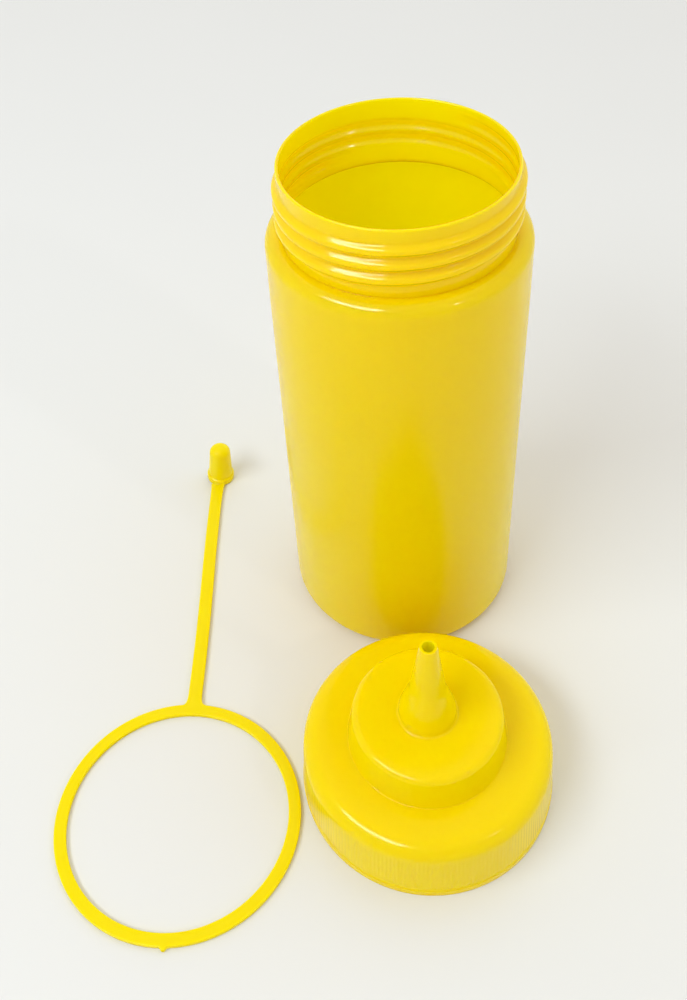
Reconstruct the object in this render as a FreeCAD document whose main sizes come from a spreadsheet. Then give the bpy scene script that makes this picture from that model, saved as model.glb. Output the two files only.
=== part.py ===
import FreeCAD, Part
import math
import os
import re

import Sketcher
from FreeCAD import Placement, Rotation, Vector

# A wide-mouth sauce squeeze bottle of soft polyethylene, in millimetres, +Z up. The bottle
# stands open at the origin, its base on the plane z = 0. Its nozzle cap has been taken off
# and stands on its rim in front, and the tether, a ring, strap and tip cap moulded as one
# piece, lies at the left. Put together, the ring sits on the shoulder under the nozzle cap,
# and the tip cap closes the nozzle.

SIZES = {
    # bottle
    "wall": 0.9,
    "neck_radius": 30.6,
    "neck_height": 19.6,
    "bottle_height": 158.0,
    "shoulder_step": 4.4,
    "shoulder_round": 3.4,
    "root_round": 0.9,
    "heel_round": 4.2,
    "foot_width": 4.0,
    "push_up": 3.0,
    "dish_round": 3.0,
    "lip_round": 0.3,
    # thread of the neck, and of the nozzle cap that screws on it
    "thread_depth": 1.35,
    "thread_base": 3.3,
    "thread_crest": 1.1,
    "thread_round": 0.5,
    "thread_pitch": 4.2,
    "thread_turns": 2.9,
    "thread_below_lip": 15.9,
    "thread_start": 100.0,
    "thread_end_wall": 4.0,
    "sink": 0.3,
    # nozzle cap
    "cap_play": 0.8,
    "ridge_play": 0.4,
    "ridge_base": 2.2,
    "ridge_crest": 0.8,
    "ridge_turns": 1.9,
    "ridge_rise": 3.4,
    "band_wall": 2.75,
    "band_rise": 2.4,
    "grip_wall": 2.35,
    "skirt_wall": 1.45,
    "skirt_round": 4.8,
    "plate": 1.7,
    "seat_play": 0.3,
    "seat_width": 2.2,
    "seat_depth": 3.1,
    "drum_radius": 21.9,
    "drum_taper": 1.6,
    "drum_rise": 10.8,
    "drum_wall": 1.5,
    "edge_round": 0.9,
    "nozzle_radius": 7.8,
    "nozzle_foot": 2.5,
    "nozzle_waist": 4.85,
    "waist_rise": 12.1,
    "nozzle_rise": 30.3,
    "nozzle_tip": 2.3,
    "nozzle_wall": 1.2,
    "nozzle_hole": 1.55,
    "foot_round": 6.0,
    "waist_round": 12.0,
    # tether
    "ring_play": 0.8,
    "ring_width": 3.5,
    "ring_thick": 1.5,
    "soft_edge": 0.35,
    "strap_length": 94.0,
    "strap_width": 4.2,
    "strap_flare": 1.0,
    "strap_side": 1.3,
    "nub_width": 2.4,
    "nub_reach": 0.9,
    "tip_side": 1.7,
    "tip_cover": 10.0,
    "tip_play": 0.12,
    "tip_rim_wall": 1.0,
    "tip_wall": 0.45,
    "tip_end_wall": 1.15,
    "tip_rim_rise": 2.2,
    "tip_dome": 5.2,
    "tip_top_wall": 1.6,
    "tip_lean": 5.0,
    # how the loose pieces lie beside the bottle
    "cap_gap": 5.64,
    "cap_side": -1.34,
    "ring_gap": 1.11,
    "ring_back": -8.56,
    "strap_turn": 3.98,
}

# Sizes that follow from the driving ones.
BODY_RADIUS = "(neck_radius + shoulder_step)"
NECK_FOOT = "(bottle_height - neck_height)"
NECK_BORE = "(neck_radius - wall)"
SHOULDER_ROUND = "min(shoulder_round; shoulder_step - 2 * root_round)"
CAP_BORE = "(neck_radius + thread_depth + cap_play)"
CAP_RADIUS = "(neck_radius + thread_depth + cap_play + band_wall)"
SEAT_LEVEL = "(neck_height - ring_thick - seat_play)"
PLATE_TOP = "(neck_height - ring_thick - seat_play + seat_depth)"
DRUM_TOP = "(neck_height - ring_thick - seat_play + seat_depth + drum_rise)"
RING_BORE = "(neck_radius + ring_play)"
RING_RADIUS = "(neck_radius + ring_play + ring_width)"
NOZZLE_SLOPE = "(nozzle_waist - nozzle_tip) / (nozzle_rise - waist_rise)"
TIP_END_BORE = "(nozzle_tip + tip_play)"
TIP_BORE = f"({TIP_END_BORE} + tip_cover * {NOZZLE_SLOPE})"
TIP_RADIUS = f"({TIP_BORE} + tip_rim_wall)"
TIP_HEIGHT = "(tip_cover + tip_dome)"
CAP_X = "cap_side"
CAP_Y = f"(0 - {BODY_RADIUS} - {CAP_RADIUS} - cap_gap)"
RING_X = f"({CAP_X} - {CAP_RADIUS} - {RING_RADIUS} - ring_gap)"
RING_Y = f"({CAP_Y} + ring_back)"
TIP_REACH = f"({RING_RADIUS} + strap_length)"

WHOLE_TURN = 360
ORIGIN_POINT = (-1, 1)
VERTICAL_AXIS = -2
HORIZONTAL_AXIS = -1


def cells(text):
    """The expression with each size named by its cell in the sheet."""
    return re.sub(r"[a-z]+_?[a-z_]*", lambda word: cell(word.group()), text)


def cell(word):
    return f"Sizes.{word}" if word in SIZES else word


def value(text):
    """What an expression comes to with the sheet's present sizes."""
    return float(sheet.evalExpression(cells(text)))


def write_sheet():
    for row, (alias, size) in enumerate(SIZES.items(), start=1):
        sheet.set(f"A{row}", alias)
        sheet.set(f"B{row}", str(size))
        sheet.setAlias(f"B{row}", alias)
    doc.recompute()


def origin_plane(body, role):
    return next(item for item in body.Origin.OriginFeatures if item.Role == role)


def new_sketch(body, name, role="XZ_Plane"):
    sketch = body.newObject("Sketcher::SketchObject", name)
    sketch.AttachmentSupport = [(origin_plane(body, role), "")]
    sketch.MapMode = "FlatFace"
    return sketch


def bind(item, prop, text):
    item.setExpression(prop, cells(text))


def fix_point(sketch, geometry, end, name, across, up):
    """Ties a point to the sketch's axes, at (across, up), each a size expression."""
    if across == "0":
        sketch.addConstraint(Sketcher.Constraint("PointOnObject", geometry, end, VERTICAL_AXIS))
    else:
        width = Sketcher.Constraint("DistanceX", *ORIGIN_POINT, geometry, end, value(across))
        sketch.renameConstraint(sketch.addConstraint(width), f"{name}_across")
        bind(sketch, f"Constraints.{name}_across", across)
    if up == "0":
        sketch.addConstraint(Sketcher.Constraint("PointOnObject", geometry, end, HORIZONTAL_AXIS))
    else:
        rise = Sketcher.Constraint("DistanceY", *ORIGIN_POINT, geometry, end, value(up))
        sketch.renameConstraint(sketch.addConstraint(rise), f"{name}_up")
        bind(sketch, f"Constraints.{name}_up", up)


def corner_arc(corner, back, ahead, radius):
    """The arc that rounds a corner, and whether it runs from the back side to the ahead side."""
    half = back.getAngle(ahead) / 2
    centre = corner + (back + ahead).normalize() * (radius / math.sin(half))
    reach = radius / math.tan(half)
    spokes = [corner + side * reach - centre for side in (back, ahead)]
    forward = spokes[0].cross(spokes[1]).z > 0
    first, last = spokes if forward else reversed(spokes)
    circle = Part.Circle(centre, Vector(0, 0, 1), radius)
    turns = [math.atan2(spoke.y, spoke.x) for spoke in (first, last)]
    return Part.ArcOfCircle(circle, *turns), reach, forward


def outline(sketch, corners):
    """Draws a closed outline. A corner is (across, up) or (across, up, radius), as expressions."""
    points = [Vector(value(corner[0]), value(corner[1]), 0) for corner in corners]
    count = len(points)
    trims = [0] * count
    arcs = {}
    for index, corner in enumerate(corners):
        if len(corner) > 2:
            back = (points[index - 1] - points[index]).normalize()
            ahead = (points[(index + 1) % count] - points[index]).normalize()
            arc, trims[index], forward = corner_arc(points[index], back, ahead, value(corner[2]))
            arcs[index] = (arc, forward)
    for index, point in enumerate(points):
        after = (index + 1) % count
        along = (points[after] - point).normalize()
        end = points[after] - along * trims[after]
        sketch.addGeometry(Part.LineSegment(point + along * trims[index], end))
    for index, corner in enumerate(corners):
        before = (index - 1) % count
        name = f"c{index}"
        if index in arcs:
            arc, forward = arcs[index]
            curve = sketch.addGeometry(arc)
            mark = sketch.addGeometry(Part.Point(points[index]), True)
            fix_point(sketch, mark, 1, name, corner[0], corner[1])
            sketch.addConstraint(Sketcher.Constraint("PointOnObject", mark, 1, before))
            sketch.addConstraint(Sketcher.Constraint("PointOnObject", mark, 1, index))
            near, far = (1, 2) if forward else (2, 1)
            sketch.addConstraint(Sketcher.Constraint("Tangent", before, 2, curve, near))
            sketch.addConstraint(Sketcher.Constraint("Tangent", curve, far, index, 1))
            bend = Sketcher.Constraint("Radius", curve, value(corner[2]))
            sketch.renameConstraint(sketch.addConstraint(bend), f"{name}_round")
            bind(sketch, f"Constraints.{name}_round", corner[2])
        else:
            sketch.addConstraint(Sketcher.Constraint("Coincident", before, 2, index, 1))
            fix_point(sketch, index, 1, name, corner[0], corner[1])


def revolve(body, kind, name, corners, placement=None):
    """A Revolution or Groove of an outline round its sketch's own upright axis."""
    sketch = new_sketch(body, f"{name}Sketch")
    if placement:
        sketch.AttachmentOffset = placement
    outline(sketch, corners)
    feature = body.newObject(f"PartDesign::{kind}", name)
    feature.Profile = sketch
    feature.ReferenceAxis = (sketch, ["V_Axis"])
    feature.Angle = WHOLE_TURN
    return sketch


def pad(body, name, corners, height):
    sketch = new_sketch(body, f"{name}Sketch", "XY_Plane")
    outline(sketch, corners)
    feature = body.newObject("PartDesign::Pad", name)
    feature.Profile = sketch
    bind(feature, "Length", height)


def helix(body, kind, name, corners, start, turns):
    """Winds an outline round the body's axis, starting at an angle, over so many turns."""
    sketch = new_sketch(body, f"{name}Sketch")
    bind(sketch, "AttachmentOffset.Rotation.Angle", start)
    sketch.AttachmentOffset = Placement(Vector(0, 0, 0), Rotation(Vector(0, 1, 0), value(start)))
    outline(sketch, corners)
    feature = body.newObject(f"PartDesign::{kind}", name)
    feature.Profile = sketch
    feature.ReferenceAxis = (sketch, ["V_Axis"])
    feature.Mode = "pitch-turns-angle"
    bind(feature, "Pitch", "thread_pitch")
    bind(feature, "Turns", turns)


def thread_section(root, crest, level, base, top):
    """A blunt ridge from the root radius to the crest radius, centred on a level."""
    return [
        (root, f"{level} - ({base}) / 2"),
        (crest, f"{level} - ({top}) / 2", "thread_round"),
        (crest, f"{level} + ({top}) / 2", "thread_round"),
        (root, f"{level} + ({base}) / 2"),
    ]


def make_bottle():
    """Blow-moulded: one thin wall all over, whose thread shows inside the neck as well."""
    body = doc.addObject("PartDesign::Body", "Bottle")
    body.Label = "bottle"
    dish = f"{BODY_RADIUS} - heel_round - foot_width"
    revolve(body, "Revolution", "Shell", [
        ("0", "push_up"),
        (f"{dish} - push_up", "push_up", "dish_round"),
        (dish, "0", "dish_round / 2"),
        (BODY_RADIUS, "0", "heel_round"),
        (BODY_RADIUS, NECK_FOOT, SHOULDER_ROUND),
        ("neck_radius", NECK_FOOT, "root_round"),
        ("neck_radius", "bottle_height", "lip_round"),
        (NECK_BORE, "bottle_height", "lip_round"),
        (NECK_BORE, f"{NECK_FOOT} - wall", "root_round + wall"),
        (f"{BODY_RADIUS} - wall", f"{NECK_FOOT} - wall", f"{SHOULDER_ROUND} - wall"),
        (f"{BODY_RADIUS} - wall", "wall", "heel_round - wall"),
        (dish, "wall", "dish_round / 2 + wall"),
        (f"{dish} - push_up", "push_up + wall", "dish_round - wall"),
        ("0", "push_up + wall"),
    ])
    level = "(bottle_height - thread_below_lip)"
    section = thread_section("neck_radius - sink", "neck_radius + thread_depth", level,
                             "thread_base", "thread_crest")
    helix(body, "AdditiveHelix", "Thread", section, "thread_start", "thread_turns")
    hollow = thread_section(f"{NECK_BORE} - sink", f"{NECK_BORE} + thread_depth",
                            f"({level} + thread_end_wall / {WHOLE_TURN} * thread_pitch)",
                            "thread_base - wall", "thread_crest")
    helix(body, "SubtractiveHelix", "ThreadHollow", hollow, "thread_start + thread_end_wall",
          f"thread_turns - 2 * thread_end_wall / {WHOLE_TURN}")
    return body


def make_nozzle_cap():
    """A ribbed skirt, a plate, a raised drum and a hollow nozzle, open right through."""
    body = doc.addObject("PartDesign::Body", "NozzleCap")
    body.Label = "nozzle_cap"
    nozzle_foot = f"{DRUM_TOP} + nozzle_foot"
    waist = f"{DRUM_TOP} + waist_rise"
    tip = f"{DRUM_TOP} + nozzle_rise"
    seat_middle = "(neck_radius - wall / 2)"
    under_plate = f"{PLATE_TOP} - plate"
    revolve(body, "Revolution", "Shell", [
        (CAP_BORE, "0", "soft_edge"),
        (CAP_RADIUS, "0", "soft_edge"),
        (CAP_RADIUS, "band_rise", "soft_edge"),
        (f"{CAP_BORE} + grip_wall", "band_rise + soft_edge"),
        (f"{CAP_BORE} + skirt_wall", PLATE_TOP, "skirt_round"),
        ("drum_radius", PLATE_TOP, "edge_round / 2"),
        ("drum_radius - drum_taper", DRUM_TOP, "edge_round"),
        ("nozzle_radius", DRUM_TOP, "edge_round"),
        ("nozzle_radius", nozzle_foot, "foot_round"),
        ("nozzle_waist", waist, "waist_round"),
        ("nozzle_tip", tip, "soft_edge / 2"),
        ("nozzle_hole", tip, "soft_edge / 2"),
        ("nozzle_waist - nozzle_wall", waist, "waist_round + nozzle_wall"),
        ("nozzle_radius - nozzle_wall", nozzle_foot, "foot_round - nozzle_wall"),
        ("nozzle_radius - nozzle_wall", f"{DRUM_TOP} - drum_wall", "edge_round"),
        ("drum_radius - drum_taper - drum_wall", f"{DRUM_TOP} - drum_wall", "edge_round / 2"),
        ("drum_radius - drum_wall", under_plate, "edge_round"),
        (f"{seat_middle} - seat_width / 2", under_plate),
        (f"{seat_middle} - seat_width / 2", SEAT_LEVEL),
        (f"{seat_middle} + seat_width / 2", SEAT_LEVEL),
        (f"{seat_middle} + seat_width / 2", under_plate),
        (CAP_BORE, under_plate, "edge_round / 2"),
    ])
    ridge = thread_section(f"{CAP_BORE} + sink", "neck_radius + ridge_play", "ridge_rise",
                           "ridge_base", "ridge_crest")
    helix(body, "AdditiveHelix", "Ridge", ridge, "thread_start", "ridge_turns")
    bind(body, "Placement.Base.x", CAP_X)
    bind(body, "Placement.Base.y", CAP_Y)
    return body


def make_tether():
    """Ring, strap and tip cap in one; the body's +Y runs from the ring along the strap."""
    body = doc.addObject("PartDesign::Body", "Tether")
    body.Label = "tether"
    revolve(body, "Revolution", "Ring", [
        (RING_BORE, "0", "soft_edge"),
        (RING_RADIUS, "0", "soft_edge"),
        (RING_RADIUS, "ring_thick", "soft_edge"),
        (RING_BORE, "ring_thick", "soft_edge"),
    ])
    left = "strap_side - strap_width / 2"
    right = "strap_side + strap_width / 2"
    start = f"{RING_RADIUS} - ring_width / 2"
    root = f"{RING_RADIUS} + strap_flare"
    end = f"{TIP_REACH} - {TIP_RADIUS} - strap_flare / 2"
    pad(body, "Strap", [
        (f"{left} - strap_flare", start),
        (f"{right} + strap_flare", start),
        (f"{right} + strap_flare", f"{RING_RADIUS} - soft_edge"),
        (right, root, "strap_flare"),
        (right, end, "strap_flare"),
        (f"{right} + strap_flare / 2", f"{end} + 3 * strap_flare"),
        (f"{left} - strap_flare / 2", f"{end} + 3 * strap_flare"),
        (left, end, "strap_flare"),
        (left, root, "strap_flare"),
        (f"{left} - strap_flare", f"{RING_RADIUS} - soft_edge"),
    ], "ring_thick")
    pad(body, "GateNub", [
        ("0 - nub_width / 2", f"0 - {RING_RADIUS} + soft_edge"),
        ("0 - nub_width / 6", f"0 - {RING_RADIUS} - nub_reach"),
        ("nub_width / 6", f"0 - {RING_RADIUS} - nub_reach"),
        ("nub_width / 2", f"0 - {RING_RADIUS} + soft_edge"),
    ], "ring_thick - soft_edge")
    # The tip cap leans a little, so it stands on the side edge of its rim.
    lean = Rotation(Vector(0, 0, 1), 0 - value("tip_lean"))
    edge_drop = f"{TIP_RADIUS} * sin(tip_lean)"
    spot = Vector(value("tip_side"), value(edge_drop), 0 - value(TIP_REACH))
    stand = Placement(spot, lean)
    skins = {
        "TipCap": ("Revolution", [
            ("0", "0"),
            (TIP_RADIUS, "0", "soft_edge"),
            (TIP_RADIUS, "tip_rim_rise", "soft_edge"),
            (f"{TIP_BORE} + tip_wall", "tip_rim_rise + soft_edge", "soft_edge"),
            (f"{TIP_END_BORE} + tip_end_wall", TIP_HEIGHT, f"{TIP_END_BORE} - soft_edge"),
            ("0", TIP_HEIGHT),
        ]),
        "TipBore": ("Groove", [
            ("0", "0 - tip_rim_rise"),
            (TIP_BORE, "0 - tip_rim_rise"),
            (TIP_BORE, "0"),
            (TIP_END_BORE, "tip_cover"),
            (TIP_END_BORE, f"{TIP_HEIGHT} - tip_top_wall", f"{TIP_END_BORE} / 2"),
            ("0", f"{TIP_HEIGHT} - tip_top_wall"),
        ]),
    }
    for name, (kind, corners) in skins.items():
        sketch = revolve(body, kind, name, corners, stand)
        bind(sketch, "AttachmentOffset.Base.x", "tip_side")
        bind(sketch, "AttachmentOffset.Base.y", edge_drop)
        bind(sketch, "AttachmentOffset.Base.z", f"0 - {TIP_REACH}")
    body.Placement.Rotation = Rotation(Vector(0, 0, -1), value("strap_turn"))
    bind(body, "Placement.Rotation.Angle", "strap_turn")
    bind(body, "Placement.Base.x", RING_X)
    bind(body, "Placement.Base.y", RING_Y)
    return body


def check_document():
    """Stops if any object failed to compute, or any piece isn't one sound solid."""
    for item in doc.Objects:
        faults = {"Invalid", "Error"} & set(item.State)
        if faults:
            raise RuntimeError(f"{item.Name}: {sorted(faults)} {item.getStatusString()}")
    for body in pieces:
        if body.Shape.isNull() or not body.Shape.isValid() or len(body.Shape.Solids) != 1:
            raise RuntimeError(f"{body.Label} is not one sound solid")


doc = FreeCAD.newDocument("SqueezeBottle")
sheet = doc.addObject("Spreadsheet::Sheet", "Sizes")
write_sheet()
pieces = [make_bottle(), make_nozzle_cap(), make_tether()]
doc.recompute()
check_document()
os.makedirs("parts", exist_ok=True)
for piece in pieces:
    piece.Shape.exportStep(f"parts/{piece.Label}.step")
    box = piece.Shape.BoundBox
    print(piece.Label, f"{piece.Shape.Volume:.0f} mm3", box)
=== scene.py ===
import math

import bmesh
import bpy
from mathutils import Matrix, Vector, noise


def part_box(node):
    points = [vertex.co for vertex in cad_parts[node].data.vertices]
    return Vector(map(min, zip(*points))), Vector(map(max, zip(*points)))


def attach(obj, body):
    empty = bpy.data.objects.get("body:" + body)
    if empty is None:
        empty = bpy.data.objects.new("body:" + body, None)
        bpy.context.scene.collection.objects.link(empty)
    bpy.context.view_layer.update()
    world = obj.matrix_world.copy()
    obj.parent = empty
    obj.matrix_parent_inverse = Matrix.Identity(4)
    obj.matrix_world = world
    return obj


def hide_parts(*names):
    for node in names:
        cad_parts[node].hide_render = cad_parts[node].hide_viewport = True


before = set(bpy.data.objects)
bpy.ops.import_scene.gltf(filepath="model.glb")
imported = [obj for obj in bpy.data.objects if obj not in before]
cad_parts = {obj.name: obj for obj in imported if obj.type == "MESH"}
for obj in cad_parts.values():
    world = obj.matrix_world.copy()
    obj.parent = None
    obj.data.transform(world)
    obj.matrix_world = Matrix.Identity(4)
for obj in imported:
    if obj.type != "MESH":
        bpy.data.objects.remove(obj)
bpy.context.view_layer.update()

# An open wide-mouth squeeze bottle, its nozzle cap standing in front of it and its tether, a
# ring, strap and tip cap in one, lying at the left. The object's lengths are in millimetres up to
# the last step of making a mesh. The table's, lamps' and camera's are in metres. Angles are in
# degrees. Places and main sizes come from the frame.

MM = 0.001
FULL_TURN = 360
ARC_STEP = 8
ON_AXIS = 1e-6

# ---------------------------------------------------------------- sizes

bottle_low, bottle_high = (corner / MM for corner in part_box("bottle"))
cap_low, cap_high = (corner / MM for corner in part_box("nozzle_cap"))
tether_low, tether_high = (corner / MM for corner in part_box("tether"))

BODY_RADIUS = (bottle_high.x - bottle_low.x) / 2
BOTTLE_HEIGHT = bottle_high.z
WALL = 0.9
LIP_ROUND = 0.44
SHOULDER_STEP = 4.4
NECK_RADIUS = BODY_RADIUS - SHOULDER_STEP
NECK_BORE = NECK_RADIUS - WALL
NECK_FOOT = BOTTLE_HEIGHT - 19.6
SHOULDER_ROUND = 3.7
ROOT_ROUND = 0.1
INNER_ROOT_ROUND = 1.9
INNER_SHOULDER_ROUND = SHOULDER_STEP - INNER_ROOT_ROUND - 0.1
HEEL_ROUND = 4.2
FOOT_WIDTH = 4.0
DISH_RADIUS = BODY_RADIUS - HEEL_ROUND - FOOT_WIDTH
DISH_FOOT_ROUND = 1.5
DISH_ROUND = 3.0
PUSH_UP = 3.0
BOTTLE_COLUMNS = 288

THREAD_DEPTH = 1.35
THREAD_PITCH = 4.2
THREAD_TURNS = 2.9
THREAD_START = 100
THREAD_LEVEL = BOTTLE_HEIGHT - 15.9
THREAD_FOOT = 4.1
THREAD_CREST = 0.7
THREAD_FADE = 0.09
THREAD_INSIDE = 0.6
THREAD_GRAIN = 0.3
WALL_WAVE = 0.06
WAVE_ACROSS = 20
WAVE_UP = 45
WAVE_RUN_OUT = 20
LONGEST_RUN = 5

CAP_RADIUS = (cap_high.x - cap_low.x) / 2
CAP_CENTRE = (cap_low + cap_high) / 2
CAP_BORE = CAP_RADIUS - 2.75
BAND_RISE = 2.4
GRIP_RADIUS = CAP_RADIUS - 0.2
SKIRT_TOP_RADIUS = CAP_RADIUS - 1.3
PLATE_TOP = 20.9
PLATE = 1.7
SKIRT_ROUND = 4.8
DRUM_FOOT_ROUND = 0.3
DRUM_EDGE_ROUND = 2.0
DRUM_RADIUS = 21.9
DRUM_TAPER = 1.6
DRUM_TOP = PLATE_TOP + 10.8
DRUM_WALL = 1.5
NOZZLE_TOP = cap_high.z
NOZZLE_RADIUS = 7.8
NOZZLE_FOOT = DRUM_TOP + 2.5
NOZZLE_WAIST = 4.85
WAIST_TOP = DRUM_TOP + 12.1
NOZZLE_TIP = 2.3
NOZZLE_HOLE = 1.55
NOZZLE_WALL = 1.2
NOZZLE_FOOT_ROUND = 0.8
NOZZLE_FOOT_CURVE = 6.0
NOZZLE_WAIST_CURVE = 12.0
TIP_ROUND = 0.2
INNER_FILLET = 0.9
INNER_EDGE = 0.4
SEAT_IN = 29.05
SEAT_OUT = 31.25
SEAT_LEVEL = 17.8
RIDGE_REACH = CAP_BORE - NECK_RADIUS - 0.4
RIDGE_LEVEL = 3.4
RIDGE_TURNS = 1.9
RIDGE_FOOT = 2.6
RIDGE_CREST = 0.8
RIDGE_GRAIN = 0.35
RIB_GRAIN = 1
PLAIN_GRAIN = 3
RIB_COUNT = 200
RIB_DEPTH = 0.07
COLUMNS_PER_RIB = 6
RIBBED_FROM = CAP_BORE + 0.1
RIB_FOOT = BAND_RISE + 1.2
RIB_FADE = PLATE_TOP - SKIRT_ROUND - 1
RIB_END = PLATE_TOP - 1.5
CAP_COLUMNS = 200
NOZZLE_COLUMNS = 96

STRAP_TURN = 3.98
RING_RADIUS = (tether_high.x - tether_low.x) / 2
RING_BORE = RING_RADIUS - 3.5
RING_THICK = 1.5
NUB_REACH = 0.9
NUB_WIDTH = 2.4
NUB_FLAT = NUB_WIDTH / 6
NUB_ANGLE = 270
SOFT_EDGE = 0.35
STRAP_LENGTH = 94.0
STRAP_WIDTH = 4.2
STRAP_SIDE = 1.15
STRAP_WAVER = 0.25
ROOT_FLARE = 0.96
ROOT_REACH = 0.9
CAP_FLARE = 0.35
CAP_REACH = 2.0
TIP_SIDE = 1.7
TIP_LEAN = 5.0
TIP_COVER = 10.0
TIP_HEIGHT = 15.2
TIP_END_BORE = 2.42
TIP_BORE = 3.82
TIP_RADIUS = 4.82
TIP_RIM_RISE = 2.2
TIP_SIDE_WALL = 0.45
TIP_END_WALL = 1.15
TIP_TOP_WALL = 1.6
TIP_BORE_ROUND = 0.2
TIP_INNER_DOME = TIP_END_BORE * 0.9
STRAP_STATIONS = 60
STATION_BUNCHING = 1.6
STRAP_END_GAP = 0.6
WELD = 1e-6
RING_COLUMNS = 300
TIP_COLUMNS = 96
EDGE_STEPS = 3


def level_step(low, high, at):
    """0 below low, 1 above high, and a smooth rise between."""
    share = min(max((at - low) / (high - low), 0), 1)
    return share * share * (3 - 2 * share)


# ---------------------------------------------------------------- outlines and turned skins


def rounded(corners, closed):
    """The points of an outline of straight runs.

    A corner is (across, up), or (across, up, round) where it is rounded.
    """
    points = []
    count = len(corners)
    for index, corner in enumerate(corners):
        here = Vector(corner[:2])
        end = not closed and index in (0, count - 1)
        if end or len(corner) == 2:
            points.append(here)
            continue
        back = (Vector(corners[index - 1][:2]) - here).normalized()
        ahead = (Vector(corners[(index + 1) % count][:2]) - here).normalized()
        half = back.angle(ahead) / 2
        centre = here + (back + ahead).normalized() * (corner[2] / math.sin(half))
        reach = corner[2] / math.tan(half)
        first = here + back * reach - centre
        turn = back.angle_signed(ahead)
        sweep = math.copysign(math.pi - 2 * half, turn)
        steps = max(2, math.ceil(abs(math.degrees(sweep)) / ARC_STEP))
        for step in range(steps + 1):
            points.append(centre + Matrix.Rotation(sweep * step / steps, 2) @ first)
    return points


def divided(points, closed, longest):
    """The outline with its runs cut, so that none is longer than longest(point) allows."""
    finer = []
    pairs = list(zip(points, points[1:]))
    if closed:
        pairs.append((points[-1], points[0]))
    for here, after in pairs:
        parts = max(1, math.ceil((after - here).length / longest((here + after) / 2)))
        finer += [here.lerp(after, part / parts) for part in range(parts)]
    if not closed:
        finer.append(points[-1])
    return finer


def stitch(low, high):
    """Faces between two rings of vertex numbers that start at the same angle."""
    if len(low) == len(high):
        turned_on = range(len(low))
        return [(low[i - 1], low[i], high[i], high[i - 1]) for i in turned_on]
    if len(low) == 1:
        return [(low[0], high[i], high[i - 1]) for i in range(len(high))]
    if len(high) == 1:
        return [(low[i - 1], low[i], high[0]) for i in range(len(low))]
    faces = []
    i = j = 0
    while i < len(low) or j < len(high):
        low_next, high_next = (i + 1) / len(low), (j + 1) / len(high)
        here, there = low[i % len(low)], high[j % len(high)]
        if low_next <= high_next:
            i += 1
            faces.append((here, low[i % len(low)], there))
        else:
            j += 1
            faces.append((here, high[j % len(high)], there))
    return faces


def turned(profile, closed, columns, bulge=None):
    """Vertices and faces of a profile turned round the upright axis, and each face's run.

    columns(across, up) says how many vertices a ring has, and bulge(across, up, angle) how far
    its wall stands out there.
    """
    points = []
    rings = []
    for across, up in profile:
        count = columns(across, up) if across > ON_AXIS else 1
        start = len(points)
        for column in range(count):
            angle = FULL_TURN * column / count
            radius = across + (bulge(across, up, angle) if bulge else 0)
            spoke = math.radians(angle)
            points.append(Vector((radius * math.cos(spoke), radius * math.sin(spoke), up)))
        rings.append(range(start, len(points)))
    if closed:
        rings.append(rings[0])
    faces = []
    runs = []
    for run, (low, high) in enumerate(zip(rings, rings[1:])):
        band = stitch(low, high)
        faces += band
        runs += [run] * len(band)
    return points, faces, runs


def mesh_piece(name, points, faces, place):
    """A smooth mesh object from points in millimetres, moved to its place."""
    mesh = bpy.data.meshes.new(name)
    mesh.from_pydata([place @ point * MM for point in points], [], faces)
    form = bmesh.new()
    form.from_mesh(mesh)
    bmesh.ops.recalc_face_normals(form, faces=form.faces)
    form.to_mesh(mesh)
    form.free()
    mesh.shade_smooth()
    piece = bpy.data.objects.new(name, mesh)
    bpy.context.scene.collection.objects.link(piece)
    return piece


def first_inner_run(profile, wall_middle):
    """The first run of a profile that has passed the lip and goes down inside the wall."""
    lip = max(range(len(profile)), key=lambda index: profile[index].y)
    return next(index for index in range(lip, len(profile)) if profile[index].x < wall_middle)


def put_on(piece, outside, inside, runs, first_inner):
    """Gives a turned piece its two finishes. The faces from the first inner run on are inside."""
    piece.data.materials.append(outside)
    piece.data.materials.append(inside)
    for face, run in zip(piece.data.polygons, runs):
        face.material_index = int(run >= first_inner)


def helix_height(up, angle, level, turns, foot, crest):
    """How high, from 0 to 1, a ridge wound at the thread's pitch stands at that place."""
    tallest = 0
    share = (angle - THREAD_START) / FULL_TURN
    for lap in range(-1, math.ceil(turns) + 1):
        along = share + lap
        off = abs(up - level - THREAD_PITCH * along)
        if off < foot / 2 and 0 < along < turns:
            flank = 1 - level_step(crest / 2, foot / 2, off)
            run_in = level_step(0, THREAD_FADE, along)
            run_out = 1 - level_step(turns - THREAD_FADE, turns, along)
            tallest = max(tallest, flank * run_in * run_out)
    return tallest


# ---------------------------------------------------------------- bottle


def bottle_profile():
    outline = rounded([
        (0, PUSH_UP),
        (DISH_RADIUS - PUSH_UP, PUSH_UP, DISH_ROUND),
        (DISH_RADIUS, 0, DISH_FOOT_ROUND),
        (BODY_RADIUS, 0, HEEL_ROUND),
        (BODY_RADIUS, NECK_FOOT, SHOULDER_ROUND),
        (NECK_RADIUS, NECK_FOOT, ROOT_ROUND),
        (NECK_RADIUS, BOTTLE_HEIGHT, LIP_ROUND),
        (NECK_BORE, BOTTLE_HEIGHT, LIP_ROUND),
        (NECK_BORE, NECK_FOOT - WALL, INNER_ROOT_ROUND),
        (BODY_RADIUS - WALL, NECK_FOOT - WALL, INNER_SHOULDER_ROUND),
        (BODY_RADIUS - WALL, WALL, HEEL_ROUND - WALL),
        (DISH_RADIUS, WALL, DISH_FOOT_ROUND + WALL),
        (DISH_RADIUS - PUSH_UP, PUSH_UP + WALL, DISH_ROUND - WALL),
        (0, PUSH_UP + WALL),
    ], closed=False)
    threaded = THREAD_LEVEL - THREAD_FOOT / 2
    return divided(outline, False, lambda at: THREAD_GRAIN if at.y > threaded else LONGEST_RUN)


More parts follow.
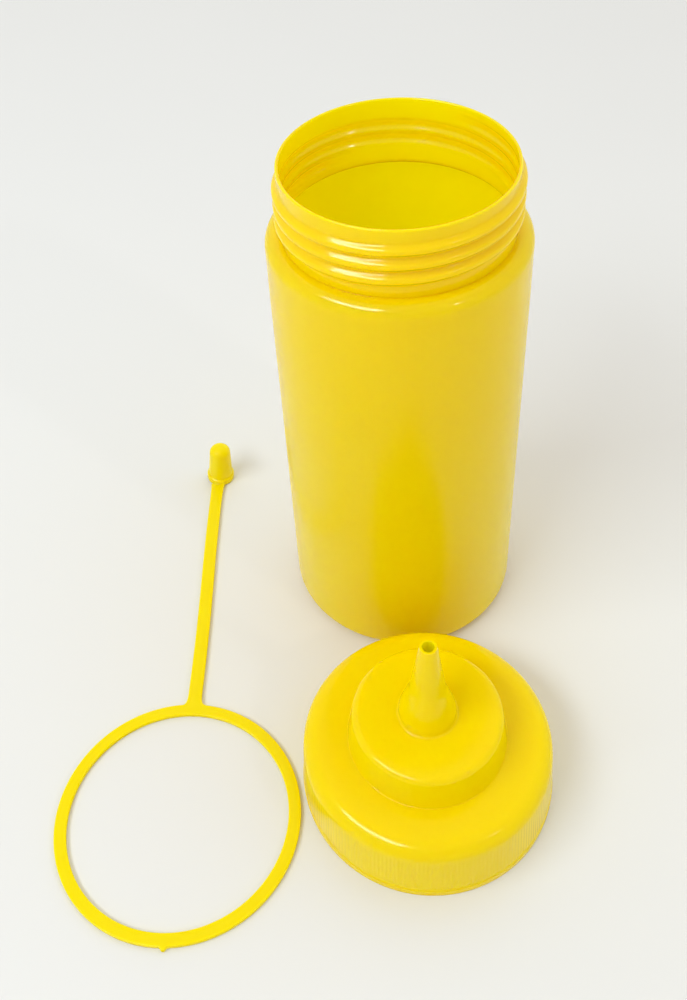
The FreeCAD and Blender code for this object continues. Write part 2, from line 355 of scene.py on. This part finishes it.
def bottle_bulge(across, up, angle):
    """The thread, softer inside the blown neck, and slow waves in the wall of the body."""
    if up < THREAD_LEVEL - THREAD_FOOT / 2:
        spoke = math.radians(angle)
        around = BODY_RADIUS / WAVE_ACROSS
        spot = (around * math.cos(spoke), around * math.sin(spoke), up / WAVE_UP)
        low = level_step(HEEL_ROUND, WAVE_RUN_OUT, up)
        high = 1 - level_step(NECK_FOOT - WAVE_RUN_OUT, NECK_FOOT, up)
        return WALL_WAVE * low * high * noise.noise(spot)
    depth = THREAD_DEPTH * (1 if across > NECK_RADIUS - WALL / 2 else THREAD_INSIDE)
    return depth * helix_height(up, angle, THREAD_LEVEL, THREAD_TURNS, THREAD_FOOT, THREAD_CREST)


def make_bottle():
    """The blown bottle with its two finishes."""
    profile = bottle_profile()
    points, faces, runs = turned(
        profile, False, lambda across, up: BOTTLE_COLUMNS, bottle_bulge)
    piece = mesh_piece("bottle_shell", points, faces, Matrix())
    inner = first_inner_run(profile, NECK_RADIUS - WALL / 2)
    put_on(piece, polyethylene(BLOWN_OUTSIDE), polyethylene(BLOWN_INSIDE), runs, inner)
    return piece


# ---------------------------------------------------------------- nozzle cap


def cap_profile():
    outline = rounded([
        (CAP_BORE, 0, SOFT_EDGE),
        (CAP_RADIUS, 0, SOFT_EDGE),
        (CAP_RADIUS, BAND_RISE, SOFT_EDGE),
        (GRIP_RADIUS, BAND_RISE + SOFT_EDGE),
        (SKIRT_TOP_RADIUS, PLATE_TOP, SKIRT_ROUND),
        (DRUM_RADIUS, PLATE_TOP, DRUM_FOOT_ROUND),
        (DRUM_RADIUS - DRUM_TAPER, DRUM_TOP, DRUM_EDGE_ROUND),
        (NOZZLE_RADIUS, DRUM_TOP, NOZZLE_FOOT_ROUND),
        (NOZZLE_RADIUS, NOZZLE_FOOT, NOZZLE_FOOT_CURVE),
        (NOZZLE_WAIST, WAIST_TOP, NOZZLE_WAIST_CURVE),
        (NOZZLE_TIP, NOZZLE_TOP, TIP_ROUND),
        (NOZZLE_HOLE, NOZZLE_TOP, TIP_ROUND),
        (NOZZLE_WAIST - NOZZLE_WALL, WAIST_TOP, NOZZLE_WAIST_CURVE + NOZZLE_WALL),
        (NOZZLE_RADIUS - NOZZLE_WALL, NOZZLE_FOOT, NOZZLE_FOOT_CURVE - NOZZLE_WALL),
        (NOZZLE_RADIUS - NOZZLE_WALL, DRUM_TOP - DRUM_WALL, INNER_FILLET),
        (DRUM_RADIUS - DRUM_TAPER - DRUM_WALL, DRUM_TOP - DRUM_WALL, INNER_EDGE),
        (DRUM_RADIUS - DRUM_WALL, PLATE_TOP - PLATE, INNER_FILLET),
        (SEAT_IN, PLATE_TOP - PLATE, INNER_EDGE),
        (SEAT_IN, SEAT_LEVEL, TIP_ROUND),
        (SEAT_OUT, SEAT_LEVEL, TIP_ROUND),
        (SEAT_OUT, PLATE_TOP - PLATE, INNER_EDGE),
        (CAP_BORE, PLATE_TOP - PLATE, INNER_EDGE),
    ], closed=True)
    return divided(outline, True, cap_step)


def is_inside_skirt(across, up):
    return SEAT_OUT < across < CAP_BORE + SOFT_EDGE and up < SEAT_LEVEL - 1


def cap_step(at):
    """Short runs where the inner ridge winds and along the ribs, longer ones elsewhere."""
    if is_inside_skirt(*at):
        return RIDGE_GRAIN
    return RIB_GRAIN if at.x > SKIRT_TOP_RADIUS else PLAIN_GRAIN


def is_ribbed(across, up):
    return across > RIBBED_FROM and up > BAND_RISE + SOFT_EDGE


def cap_columns(across, up):
    if is_ribbed(across, up):
        return RIB_COUNT * COLUMNS_PER_RIB
    return NOZZLE_COLUMNS if across < NOZZLE_RADIUS else CAP_COLUMNS


def cap_bulge(across, up, angle):
    """Fine upright ribs outside, which run out on the rounded edge, and a ridge inside."""
    if is_ribbed(across, up):
        foot = level_step(BAND_RISE + SOFT_EDGE, RIB_FOOT, up)
        head = 1 - level_step(RIB_FADE, RIB_END, up)
        wave = (1 + math.cos(math.radians(angle * RIB_COUNT))) / 2
        return RIB_DEPTH * foot * head * wave
    if is_inside_skirt(across, up):
        return -RIDGE_REACH * helix_height(
            up, angle, RIDGE_LEVEL, RIDGE_TURNS, RIDGE_FOOT, RIDGE_CREST)
    return 0


def make_nozzle_cap():
    """The moulded cap with its nozzle, standing on its rim."""
    profile = cap_profile()
    points, faces, runs = turned(profile, True, cap_columns, cap_bulge)
    place = Matrix.Translation((CAP_CENTRE.x, CAP_CENTRE.y, 0))
    piece = mesh_piece("nozzle_cap_shell", points, faces, place)
    inner = first_inner_run(profile, (NOZZLE_TIP + NOZZLE_HOLE) / 2)
    put_on(piece, polyethylene(MOULDED_CAP), polyethylene(MOULDED_BORE), runs, inner)
    return piece


# ---------------------------------------------------------------- tether


def strap_middle(along):
    """How far the strap's middle lies to the side, at a distance along it from the ring."""
    share = along / STRAP_LENGTH
    return STRAP_SIDE + STRAP_WAVER * math.sin(2 * math.pi * share)


def strap_half_width(along, end):
    """Half the strap's width, which flares where it joins the ring and the tip cap."""
    at_ring = ROOT_FLARE * math.exp(-along / ROOT_REACH)
    at_cap = CAP_FLARE * math.exp(-(end - along) / CAP_REACH)
    return STRAP_WIDTH / 2 + at_ring + at_cap


def tether_outline():
    """The outer edge of the ring and strap, seen from above, in the tether's own frame."""
    end = STRAP_LENGTH - (TIP_BORE + STRAP_END_GAP)
    shares = [step / STRAP_STATIONS for step in range(STRAP_STATIONS + 1)]
    stations = [end * share ** STATION_BUNCHING for share in shares]
    left = []
    right = []
    for along in stations:
        middle, half = strap_middle(along), strap_half_width(along, end)
        left.append((middle - half, RING_RADIUS + along))
        right.append((middle + half, RING_RADIUS + along))
    first = math.degrees(math.atan2(left[0][1], left[0][0]))
    last = math.degrees(math.atan2(right[0][1], right[0][0])) + FULL_TURN
    ring = []
    for step in range(1, RING_COLUMNS):
        angle = first + (last - first) * step / RING_COLUMNS
        off_nub = abs(math.radians(angle - NUB_ANGLE)) * RING_RADIUS
        radius = RING_RADIUS + NUB_REACH * (1 - level_step(NUB_FLAT, NUB_WIDTH / 2, off_nub))
        spoke = math.radians(angle)
        ring.append((radius * math.cos(spoke), radius * math.sin(spoke)))
    return list(reversed(left)) + ring + right


def closed_spline(curve, points):
    spline = curve.splines.new("POLY")
    spline.points.add(len(points) - 1)
    for knot, (across, along) in zip(spline.points, points):
        knot.co = (across * MM, along * MM, 0, 1)
    spline.use_cyclic_u = True


def ring_and_strap():
    """A flat moulding with softened edges."""
    curve = bpy.data.curves.new("ring_and_strap", "CURVE")
    curve.dimensions = "2D"
    curve.fill_mode = "BOTH"
    curve.extrude = (RING_THICK / 2 - SOFT_EDGE) * MM
    curve.bevel_depth = SOFT_EDGE * MM
    curve.bevel_resolution = EDGE_STEPS
    curve.offset = -SOFT_EDGE * MM
    closed_spline(curve, tether_outline())
    spokes = [math.tau * step / RING_COLUMNS for step in range(RING_COLUMNS)]
    closed_spline(curve, [(RING_BORE * math.cos(a), RING_BORE * math.sin(a)) for a in spokes])
    piece = bpy.data.objects.new("ring_and_strap", curve)
    piece.location.z = RING_THICK / 2 * MM
    return piece


def tip_cap():
    points, faces, _ = turned(rounded([
        (0, TIP_HEIGHT),
        (TIP_END_BORE + TIP_END_WALL, TIP_HEIGHT, TIP_END_BORE),
        (TIP_BORE + TIP_SIDE_WALL, TIP_RIM_RISE + SOFT_EDGE, SOFT_EDGE),
        (TIP_RADIUS, TIP_RIM_RISE, SOFT_EDGE),
        (TIP_RADIUS, 0, SOFT_EDGE),
        (TIP_BORE, 0, TIP_BORE_ROUND),
        (TIP_END_BORE, TIP_COVER),
        (TIP_END_BORE, TIP_HEIGHT - TIP_TOP_WALL, TIP_INNER_DOME),
        (0, TIP_HEIGHT - TIP_TOP_WALL),
    ], closed=False), False, lambda across, up: TIP_COLUMNS)
    lean = Matrix.Rotation(math.radians(TIP_LEAN), 4, "Y")
    drop = TIP_RADIUS * math.sin(math.radians(TIP_LEAN))
    spot = Matrix.Translation((TIP_SIDE, RING_RADIUS + STRAP_LENGTH, drop))
    return mesh_piece("tip_cap", points, faces, spot @ lean)


def make_tether():
    """Ring, strap and tip cap, joined into one moulding and turned to where it lies."""
    flat = ring_and_strap()
    bpy.context.scene.collection.objects.link(flat)
    cap = tip_cap()
    turn = math.radians(STRAP_TURN)
    ring_x = (tether_low.x + tether_high.x) / 2
    nub_tip = (RING_RADIUS + NUB_REACH) * math.cos(turn) + NUB_FLAT * math.sin(turn)
    place = Matrix.Translation((ring_x * MM, (tether_low.y + nub_tip) * MM, 0))
    place = place @ Matrix.Rotation(-turn, 4, "Z")
    mesh = bpy.data.meshes.new_from_object(flat)
    form = bmesh.new()
    form.from_mesh(mesh)
    bmesh.ops.remove_doubles(form, verts=form.verts, dist=WELD)
    bmesh.ops.translate(form, verts=form.verts, vec=flat.location)
    form.to_mesh(mesh)
    form.free()
    mesh.shade_smooth()
    piece = bpy.data.objects.new("tether_moulding", mesh)
    bpy.context.scene.collection.objects.link(piece)
    join = piece.modifiers.new("join", "BOOLEAN")
    join.operation = "UNION"
    join.solver = "EXACT"
    join.object = cap
    bpy.context.view_layer.update()
    joined = bpy.data.meshes.new_from_object(
        piece.evaluated_get(bpy.context.evaluated_depsgraph_get()))
    piece.modifiers.clear()
    piece.data = joined
    for spare in (flat, cap):
        bpy.data.objects.remove(spare)
    joined.transform(place)
    joined.materials.clear()
    joined.materials.append(polyethylene(MOULDED_TETHER))
    return piece


# ---------------------------------------------------------------- materials


def linear(code):
    """An sRGB hex colour as linear red, green, blue and alpha."""
    shares = [int(code[i:i + 2], 16) / 255 for i in (1, 3, 5)]
    curve = [s / 12.92 if s <= 0.04045 else ((s + 0.055) / 1.055) ** 2.4 for s in shares]
    return (*curve, 1)


def node(tree, kind, inputs, **settings):
    """Adds a node. An input, by name or number, is a value or another node's output to link."""
    made = tree.nodes.new(kind)
    for name, setting in settings.items():
        setattr(made, name, setting)
    for socket, value in inputs.items():
        if isinstance(value, bpy.types.NodeSocket):
            tree.links.new(value, made.inputs[socket])
        else:
            made.inputs[socket].default_value = value
    return made


def fresh_tree(owner):
    owner.use_nodes = True
    owner.node_tree.nodes.clear()
    return owner.node_tree


# A colour mix has its two colours at these inputs and its result at this output.
MIX_FROM, MIX_TO, MIX_RESULT = 6, 7, 2

# Low-density polyethylene, coloured yellow: waxy and softly glossy. Light goes in and comes out
# beside, so edges look soft and a thin wall lit from behind glows. Blue light is held back.
# Each finish has two tones, its specular level ("shine"), how far light spreads in it (mm), its
# least and most roughness ("gloss"), the roughness a blasted mould adds, and the width and height
# of the marks on its surface and their depth (mm).
POLYETHYLENE_IOR = 1.51
SPREAD_OF_COLOURS = (1.0, 1.0, 0.01)
CLOUD_SIZE = 30.0
CLOUD_DETAIL = 2.0
MARK_DETAIL = 3.0
MARKS_IN_TINT = 0.3
SCUFF_SIZE = 4.0
SCUFF_DETAIL = 4.0
SCUFFS_START, SCUFFS_FULL = 0.35, 0.65
POLISHED_FOOT = NECK_FOOT - SHOULDER_ROUND
BLAST_FADE = 12.0
BLASTED_TOP = POLISHED_FOOT - BLAST_FADE

# Blown into a mould from a hot tube, whose die leaves faint upright lines.
BLOWN_OUTSIDE = {
    "name": "blown_polyethylene_outside", "tones": ("#FAD400", "#F4CE00"),
    "shine": 0.2, "spread": 2.2, "gloss": (0.1, 0.15), "blasted": 0.1,
    "marks": (3.0, 70.0), "depth": 0.02,
}
# The inside of the same wall cooled in air, with the slow sags of the soft tube. Its redder tones
# are painted bounce light, standing in for light that bounces many times in the bottle; its
# further spread of light stands in for the same bounces.
BLOWN_INSIDE = {
    "name": "blown_polyethylene_inside", "tones": ("#FFA800", "#FFA200"),
    "shine": 0.2, "spread": 13.0, "gloss": (0.1, 0.15), "blasted": 0.0,
    "marks": (6.0, 40.0), "depth": 0.03,
}
# Injected into a polished mould: an even skin with a slight orange peel.
MOULDED_CAP = {
    "name": "moulded_polyethylene_cap", "tones": ("#F4D800", "#EED200"),
    "shine": 0.15, "spread": 0.6, "gloss": (0.1, 0.15), "blasted": 0.0,
    "marks": (1.6, 1.6), "depth": 0.004,
}
# The cap's inside and the nozzle's bore, where light comes through the thin wall. It spreads light
# further, and its tones, lighter than the cap's, are painted glow from that light.
MOULDED_BORE = {
    "name": "moulded_polyethylene_bore", "tones": ("#F8DC00", "#F2D800"),
    "shine": 0.12, "spread": 5.0, "gloss": (0.12, 0.16), "blasted": 0.0,
    "marks": (1.6, 1.6), "depth": 0.004,
}
# The ring and strap are handled more than the cap, and a little duller.
MOULDED_TETHER = {
    "name": "moulded_polyethylene_tether", "tones": ("#F2DE00", "#ECD800"),
    "shine": 0.15, "spread": 0.6, "gloss": (0.13, 0.19), "blasted": 0.0,
    "marks": (1.6, 1.6), "depth": 0.004,
}


def polyethylene(finish):
    material = bpy.data.materials.new(finish["name"])
    tree = fresh_tree(material)
    place = node(tree, "ShaderNodeTexCoord", {}).outputs["Object"]

    # Marks of the mould or die, in the relief and a little in the tint.
    width, height = (1 / (size * MM) for size in finish["marks"])
    drawn = node(tree, "ShaderNodeMapping", {"Vector": place, "Scale": (width, width, height)})
    marks = node(tree, "ShaderNodeTexNoise", {
        "Vector": drawn.outputs[0], "Scale": 1.0, "Detail": MARK_DETAIL}).outputs["Fac"]
    relief = node(tree, "ShaderNodeBump", {"Height": marks, "Distance": finish["depth"] * MM})
    cloud = node(tree, "ShaderNodeTexNoise", {
        "Vector": place, "Scale": 1 / (CLOUD_SIZE * MM), "Detail": CLOUD_DETAIL}).outputs["Fac"]
    mottle = node(tree, "ShaderNodeMix", {"Factor": MARKS_IN_TINT, "A": cloud, "B": marks})
    light, deep = (linear(tone) for tone in finish["tones"])
    tint = node(tree, "ShaderNodeMix", {
        "Factor": mottle.outputs[0], MIX_FROM: light, MIX_TO: deep}, data_type="RGBA")

    # Handling leaves duller patches.
    scuffs = node(tree, "ShaderNodeTexNoise", {
        "Vector": place, "Scale": 1 / (SCUFF_SIZE * MM), "Detail": SCUFF_DETAIL}).outputs["Fac"]
    least, most = finish["gloss"]
    roughness = node(tree, "ShaderNodeMapRange", {
        "Value": scuffs, "From Min": SCUFFS_START, "From Max": SCUFFS_FULL,
        "To Min": least, "To Max": most})

    # The mould is blasted where it makes the body and polished where it makes the neck.
    up = node(tree, "ShaderNodeSeparateXYZ", {"Vector": place}).outputs["Z"]
    blasted = node(tree, "ShaderNodeMapRange", {
        "Value": up, "From Min": BLASTED_TOP * MM, "From Max": POLISHED_FOOT * MM,
        "To Min": finish["blasted"], "To Max": 0.0})
    dullness = node(tree, "ShaderNodeMath", {
        0: roughness.outputs[0], 1: blasted.outputs[0]}, operation="ADD")

    shader = node(tree, "ShaderNodeBsdfPrincipled", {
        "Base Color": tint.outputs[MIX_RESULT], "Roughness": dullness.outputs[0],
        "Normal": relief.outputs[0], "IOR": POLYETHYLENE_IOR,
        "Specular IOR Level": finish["shine"], "Subsurface Weight": 1.0,
        "Subsurface Radius": SPREAD_OF_COLOURS, "Subsurface Scale": finish["spread"] * MM})
    node(tree, "ShaderNodeOutputMaterial", {"Surface": shader.outputs[0]})
    return material


# The grain is drawn coarser than the real one, so that it shows.
LAMINATE_TONES = ("#E2E1E0", "#E0DFDE")
LAMINATE_CLOUD = 120.0
LAMINATE_GRAIN = 0.8
LAMINATE_DEPTH = 0.01
LAMINATE_ROUGHNESS = 0.6
LAMINATE_SHINE = 0.2


def matt_laminate():
    """The table top's white melamine laminate, pressed with a fine matt grain."""
    material = bpy.data.materials.new("pressed_matt_laminate")
    tree = fresh_tree(material)
    place = node(tree, "ShaderNodeTexCoord", {}).outputs["Object"]
    cloud = node(tree, "ShaderNodeTexNoise", {
        "Vector": place, "Scale": 1 / (LAMINATE_CLOUD * MM), "Detail": CLOUD_DETAIL})
    light, deep = (linear(tone) for tone in LAMINATE_TONES)
    tint = node(tree, "ShaderNodeMix", {
        "Factor": cloud.outputs["Fac"], MIX_FROM: light, MIX_TO: deep}, data_type="RGBA")
    grain = node(tree, "ShaderNodeTexNoise", {"Vector": place, "Scale": 1 / (LAMINATE_GRAIN * MM)})
    relief = node(tree, "ShaderNodeBump", {
        "Height": grain.outputs["Fac"], "Distance": LAMINATE_DEPTH * MM})
    shader = node(tree, "ShaderNodeBsdfPrincipled", {
        "Base Color": tint.outputs[MIX_RESULT], "Normal": relief.outputs[0],
        "Roughness": LAMINATE_ROUGHNESS, "Specular IOR Level": LAMINATE_SHINE})
    node(tree, "ShaderNodeOutputMaterial", {"Surface": shader.outputs[0]})
    return material


# ---------------------------------------------------------------- table, lamps and camera

TABLE_REACH = 3.0


def direction(azimuth, elevation):
    """The direction at those angles, in degrees, from +X and from the level."""
    turn, rise = math.radians(azimuth), math.radians(elevation)
    level = Vector((math.cos(turn), math.sin(turn), 0))
    return level * math.cos(rise) + Vector((0, 0, math.sin(rise)))


ROOM_TONES = ("#FFF4EA", "#F6FFFF")
ROOM_LEVEL = 0.63
BRIGHT_END_LEVEL = 0.7
BRIGHT_END = direction(azimuth=53, elevation=25)
BACKDROP = "#EFEDEB"

# The window is two lamps nearly in one place. One lights the object and is hidden from the gloss.
# The other shows only in the gloss, as a bright pane.
WINDOW_LIGHT = {
    "azimuth": -148, "elevation": 49, "distance": 1.6, "width": 1.1, "height": 0.45,
    "power": 11.8, "colour": "#EAF8FF",
}
WINDOW_PANE = {
    "azimuth": -140, "elevation": 49, "distance": 1.6, "width": 1.06, "height": 0.36,
    "power": 28.0, "colour": "#FFFFFF",
}
SIDE_LAMP = {
    "azimuth": -47, "elevation": 38, "distance": 1.3, "width": 0.06, "height": 0.06,
    "power": 0.8, "colour": "#FFFFFF",
}


def make_table():
    """A wide table top."""
    reach = TABLE_REACH
    points = [(-reach, -reach, 0), (reach, -reach, 0), (reach, reach, 0), (-reach, reach, 0)]
    mesh = bpy.data.meshes.new("table_top")
    mesh.from_pydata(points, [], [(0, 1, 2, 3)])
    table = bpy.data.objects.new("table_top", mesh)
    bpy.context.scene.collection.objects.link(table)
    mesh.materials.append(matt_laminate())


def make_room_light():
    """A pale room: warm and dimmer at the front, paler and brighter behind at the right."""
    world = bpy.data.worlds.new("pale_room")
    bpy.context.scene.world = world
    tree = fresh_tree(world)
    facing = node(tree, "ShaderNodeTexCoord", {}).outputs["Generated"]
    share = node(tree, "ShaderNodeVectorMath", {0: facing, 1: BRIGHT_END}, operation="DOT_PRODUCT")
    toward = share.outputs["Value"]
    level = node(tree, "ShaderNodeMapRange", {
        "Value": toward, "To Min": ROOM_LEVEL, "To Max": ROOM_LEVEL + BRIGHT_END_LEVEL})
    front, end = (linear(tone) for tone in ROOM_TONES)
    tint = node(tree, "ShaderNodeMix", {
        "Factor": toward, MIX_FROM: front, MIX_TO: end}, data_type="RGBA")
    walls = node(tree, "ShaderNodeBackground", {
        "Color": tint.outputs[MIX_RESULT], "Strength": level.outputs[0]})
    # What is seen past the table's edge, straight, in the gloss or through the wall, is pale.
    backdrop = node(tree, "ShaderNodeBackground", {"Color": linear(BACKDROP), "Strength": 1.0})
    ray = node(tree, "ShaderNodeLightPath", {}).outputs
    seen = node(tree, "ShaderNodeMath", {
        0: ray["Is Camera Ray"], 1: ray["Is Glossy Ray"]}, operation="MAXIMUM")
    seen = node(tree, "ShaderNodeMath", {
        0: seen.outputs[0], 1: ray["Is Transmission Ray"]}, operation="MAXIMUM")
    shown = node(tree, "ShaderNodeMixShader", {
        0: seen.outputs[0], 1: walls.outputs[0], 2: backdrop.outputs[0]})
    node(tree, "ShaderNodeOutputWorld", {"Surface": shown.outputs[0]})


def area_lamp(name, azimuth, elevation, distance, width, height, power, colour):
    """A flat lamp that faces the object from a direction. Its power is in watts."""
    lamp = bpy.data.lights.new(name, "AREA")
    lamp.shape = "RECTANGLE"
    lamp.size = width
    lamp.size_y = height
    lamp.energy = power
    lamp.color = linear(colour)[:3]
    toward = direction(azimuth, elevation)
    stand = bpy.data.objects.new(name, lamp)
    stand.location = toward * distance
    stand.rotation_mode = "QUATERNION"
    stand.rotation_quaternion = toward.to_track_quat("Z", "Y")
    bpy.context.scene.collection.objects.link(stand)
    return stand


CAMERA_PITCH = 41.309
CAMERA_ROLL = 4.452
CAMERA_PLACE = (-0.02387, -0.23836, 0.30788)
LENS = 40.563
FILM_LENGTH = 36
SHIFT_ACROSS = 0.02822
SHIFT_UP = -0.15322
NEAREST_SEEN = 0.01


def make_camera():
    """Looks down at the bottle from in front, rolled a little. The lens and film are in mm."""
    data = bpy.data.cameras.new("camera")
    data.lens = LENS
    data.sensor_width = FILM_LENGTH
    data.shift_x = SHIFT_ACROSS
    data.shift_y = SHIFT_UP
    data.clip_start = NEAREST_SEEN
    camera = bpy.data.objects.new("camera", data)
    tilt = Matrix.Rotation(math.radians(90 - CAMERA_PITCH), 4, "X")
    roll = Matrix.Rotation(math.radians(-CAMERA_ROLL), 4, "Z")
    camera.matrix_world = Matrix.Translation(CAMERA_PLACE) @ tilt @ roll
    bpy.context.scene.collection.objects.link(camera)
    bpy.context.scene.camera = camera


# ---------------------------------------------------------------- putting it together

make_camera()
make_table()
make_room_light()
area_lamp("window_light", **WINDOW_LIGHT).visible_glossy = False
area_lamp("window_pane", **WINDOW_PANE).visible_diffuse = False
area_lamp("side_lamp", **SIDE_LAMP)

PIECES = {
    "bottle": (make_bottle, "bottle_plastic"),
    "nozzle_cap": (make_nozzle_cap, "cap_plastic"),
    "tether": (make_tether, "tether_plastic"),
}
for cad_node, (make, slot) in PIECES.items():
    piece = make()
    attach(piece, "root")
    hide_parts(cad_node)

bpy.context.scene.view_settings.view_transform = "Standard"
